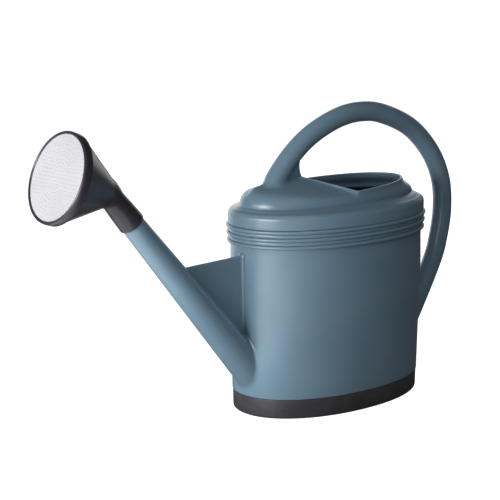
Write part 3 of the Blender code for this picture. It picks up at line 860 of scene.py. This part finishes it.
def horn(mat):
    """Collar, elbow and flared horn outside, then the way back inside, in one closed skin."""
    collar = softened([(GAP, COLLAR_BORE), (GAP, COLLAR_LIP_RADIUS),
                       (COLLAR_MIDDLE, COLLAR_MIDDLE_RADIUS), (COLLAR_END, COLLAR_END_RADIUS)],
                      COLLAR_ROUND)
    horn_end = ROSE_LENGTH - RING_DEPTH
    mouth_end = ROSE_LENGTH - PLATE_THICKNESS - 2 * GAP
    cone = [(HORN_START + (horn_end - HORN_START) * i / HORN_STEPS,
             NECK_RADIUS + (HORN_RADIUS - NECK_RADIUS) * i / HORN_STEPS)
            for i in range(HORN_STEPS + 1)]
    cone += [(horn_end + GAP, PLATE_RADIUS), (mouth_end, PLATE_RADIUS),
             (mouth_end, PLATE_RADIUS - HORN_WALL), (horn_end, PLATE_RADIUS - HORN_WALL),
             (HORN_START, NECK_RADIUS - HORN_WALL)]
    throat = COLLAR_END_RADIUS - HORN_WALL
    bore = [(COLLAR_END, throat), (COLLAR_BORE_END, throat), (COLLAR_BORE_END, COLLAR_BORE)]
    rings = turned(SPOUT_SHOULDER, SPOUT_AXIS, collar, FACE_SIDES)
    rings += elbow(COLLAR_END_RADIUS, NECK_RADIUS)
    rings += turned(rose_point(0), ROSE_AXIS, cone, FACE_SIDES)
    rings += list(reversed(elbow(throat, NECK_RADIUS - HORN_WALL)))
    rings += turned(SPOUT_SHOULDER, SPOUT_AXIS, bore, FACE_SIDES)
    return skin("rose_body", rings, mat, looped=True)


def ring(mat):
    back = ROSE_LENGTH - RING_DEPTH + GAP
    front = ROSE_LENGTH + RING_LIP
    profile = [(ROSE_LENGTH, RING_BORE), (back, RING_BORE), (back, RING_RADIUS - RING_TAPER)]
    profile += [(front - behind, RING_RADIUS - inset) for behind, inset in RING_EDGE]
    profile += [(front, RING_WINDOW_RADIUS + RING_BEVEL), (front - RING_BEVEL, RING_WINDOW_RADIUS),
                (ROSE_LENGTH, RING_WINDOW_RADIUS)]
    rings = turned(rose_point(0), ROSE_AXIS, softened(profile, RING_ROUND), FACE_SIDES)
    return skin("rose_rim", rings, mat, looped=True)


def plate_holes():
    places = [(0.0, 0.0)]
    for row in range(1, HOLE_RINGS + 1):
        count = 6 * row
        reach = row * HOLE_PITCH
        for i in range(count):
            turn = 2 * math.pi * (i + 0.5 * (row % 2)) / count
            places.append((reach * math.cos(turn), reach * math.sin(turn)))
    return places


def circle(centre, radius, sides):
    turns = [2 * math.pi * i / sides for i in range(sides)]
    return [Vector((centre[0] + radius * math.cos(turn), centre[1] + radius * math.sin(turn)))
            for turn in turns]


def plate(mat):
    """Thin disc with rings of fine holes, cut from a flat pattern and given its depth."""
    points, edges = [], []
    holes = plate_holes()
    outlines = [circle((0, 0), PLATE_RADIUS, FACE_SIDES)]
    outlines += [circle(hole, HOLE_RADIUS, HOLE_SIDES) for hole in holes]
    for outline in outlines:
        first, sides = len(points), len(outline)
        points += outline
        edges += [(first + i, first + (i + 1) % sides) for i in range(sides)]
    flat, _, faces, _, _, _ = delaunay_2d_cdt(points, edges, [], 1, CUT_TOLERANCE)
    bm = bmesh.new()
    centre = rose_point(ROSE_LENGTH - GAP)
    verts = [bm.verts.new(centre + ROSE_UP * point.x + Vector((0, point.y, 0))) for point in flat]
    for face in faces:
        middle = sum((flat[i] for i in face), Vector((0, 0))) / len(face)
        if all((middle - Vector(hole)).length > HOLE_RADIUS * 0.95 for hole in holes):
            bm.faces.new([verts[i] for i in face])
    bmesh.ops.recalc_face_normals(bm, faces=bm.faces)
    rim = [edge for edge in bm.edges if edge.is_boundary]
    walls = bmesh.ops.extrude_edge_only(bm, edges=rim)["geom"]
    bmesh.ops.translate(bm, vec=-ROSE_AXIS * PLATE_SEEN,
                        verts=[item for item in walls if isinstance(item, bmesh.types.BMVert)])
    return finished("rose_sieve", bm, mat)


# ---------------------------------------------------------------- studio

def backdrop():
    bm = bmesh.new()
    half = FLOOR_HALF_WIDTH
    corners = ((-half, -half), (half, -half), (half, half), (-half, half))
    bm.faces.new([bm.verts.new((x, y, 0.0)) for x, y in corners])
    floor = finished("studio_floor", bm, floor_material())


def area_light(name, place, target, width, height, power, lights=True, glints=True):
    data = bpy.data.lights.new(name, "AREA")
    data.shape = "RECTANGLE"
    data.size, data.size_y = width, height
    data.energy = power
    obj = bpy.data.objects.new(name, data)
    obj.location = place
    obj.rotation_mode = "QUATERNION"
    obj.rotation_quaternion = (Vector(target) - Vector(place)).to_track_quat("-Z", "Y")
    obj.visible_camera = False
    obj.visible_diffuse = lights
    obj.visible_glossy = glints
    bpy.context.scene.collection.objects.link(obj)


def around(azimuth, elevation, distance):
    """A place seen from the can's middle at this azimuth (0 is towards -Y) and elevation."""
    a, e = math.radians(azimuth), math.radians(elevation)
    away = Vector((math.sin(a) * math.cos(e), -math.cos(a) * math.cos(e), math.sin(e)))
    return away * distance


def lighting():
    for name, (azimuth, elevation, distance, *rest) in LIGHTS.items():
        area_light(name, around(azimuth, elevation, distance), LIGHTS_AIM, *rest)
    for name, (azimuth, distance, *size, power) in BOARDS.items():
        place = around(azimuth, 0, distance) + Vector((0, 0, BOARD_HEIGHT))
        area_light(name, place, place + Vector((0, 0, 1)), *size, power)


def world():
    """Pale surroundings, dimmer for light than for sight."""
    made = bpy.data.worlds.new("studio")
    made.use_nodes = True
    nodes, links = made.node_tree.nodes, made.node_tree.links
    seen = nodes["Background"]
    seen.inputs["Color"].default_value = (1.0, 1.0, 1.0, 1.0)
    seen.inputs["Strength"].default_value = PALE
    light = nodes.new("ShaderNodeBackground")
    light.inputs["Color"].default_value = (*AMBIENT_COLOUR, 1.0)
    light.inputs["Strength"].default_value = AMBIENT
    seen_or_lit(nodes, links, light.outputs["Background"], seen.outputs["Background"],
                nodes["World Output"].inputs["Surface"])
    bpy.context.scene.world = made


def camera():
    data = bpy.data.cameras.new("camera")
    data.lens = CAMERA_LENS
    data.sensor_width = CAMERA_SENSOR
    data.clip_start, data.clip_end = CAMERA_CLIP
    turn = math.radians(CAMERA_AZIMUTH)
    back = around(CAMERA_AZIMUTH, CAMERA_ELEVATION, 1.0)
    right = Vector((math.cos(turn), math.sin(turn), 0.0))
    up = back.cross(right)
    target = CAMERA_TARGET - right * CAMERA_SHIFT + up * CAMERA_SHIFT
    obj = bpy.data.objects.new("camera", data)
    obj.location = target + back * CAMERA_DISTANCE
    obj.rotation_mode = "QUATERNION"
    obj.rotation_quaternion = back.to_track_quat("Z", "Y")
    bpy.context.scene.collection.objects.link(obj)
    bpy.context.scene.camera = obj


# ---------------------------------------------------------------- assembly

def dress(obj, body, slot, *nodes):
    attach(obj, body)
    if nodes:
        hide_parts(*nodes)


def build():
    camera()
    mats = {name: plastic(name, **look) for name, look in PLASTICS.items()}
    can_plastic, rose_plastic = mats["can_plastic"], mats["rose_plastic"]

    wall, top = tank_wall(can_plastic), can_top(can_plastic)
    dress(wall, "can", "can_plastic", "tank_shell")
    dress(top, "can", "can_plastic", "top_cover")
    dress(handle(can_plastic, top, wall), "can", "can_plastic", "carry_handle")
    dress(gusset(can_plastic), "can", "can_plastic")
    dress(spout_tube(can_plastic, wall), "can", "can_plastic", "spout")
    dress(web(can_plastic), "can", "can_plastic")
    dress(boot(mats["boot_plastic"]), "can", "boot_plastic", "base_boot")
    dress(horn(rose_plastic), "rose", "rose_plastic", "rose_horn")
    dress(ring(rose_plastic), "rose_face", "rose_plastic", "rose_ring")
    dress(plate(mats["plate_plastic"]), "rose_face", "plate_plastic", "rose_plate")
    frame["nodes"]["collar_seal"].data.materials.clear()
    frame["nodes"]["collar_seal"].data.materials.append(mats["seal_rubber"])

    backdrop()
    world()
    lighting()
    bpy.context.scene.view_settings.view_transform = "Standard"


build()
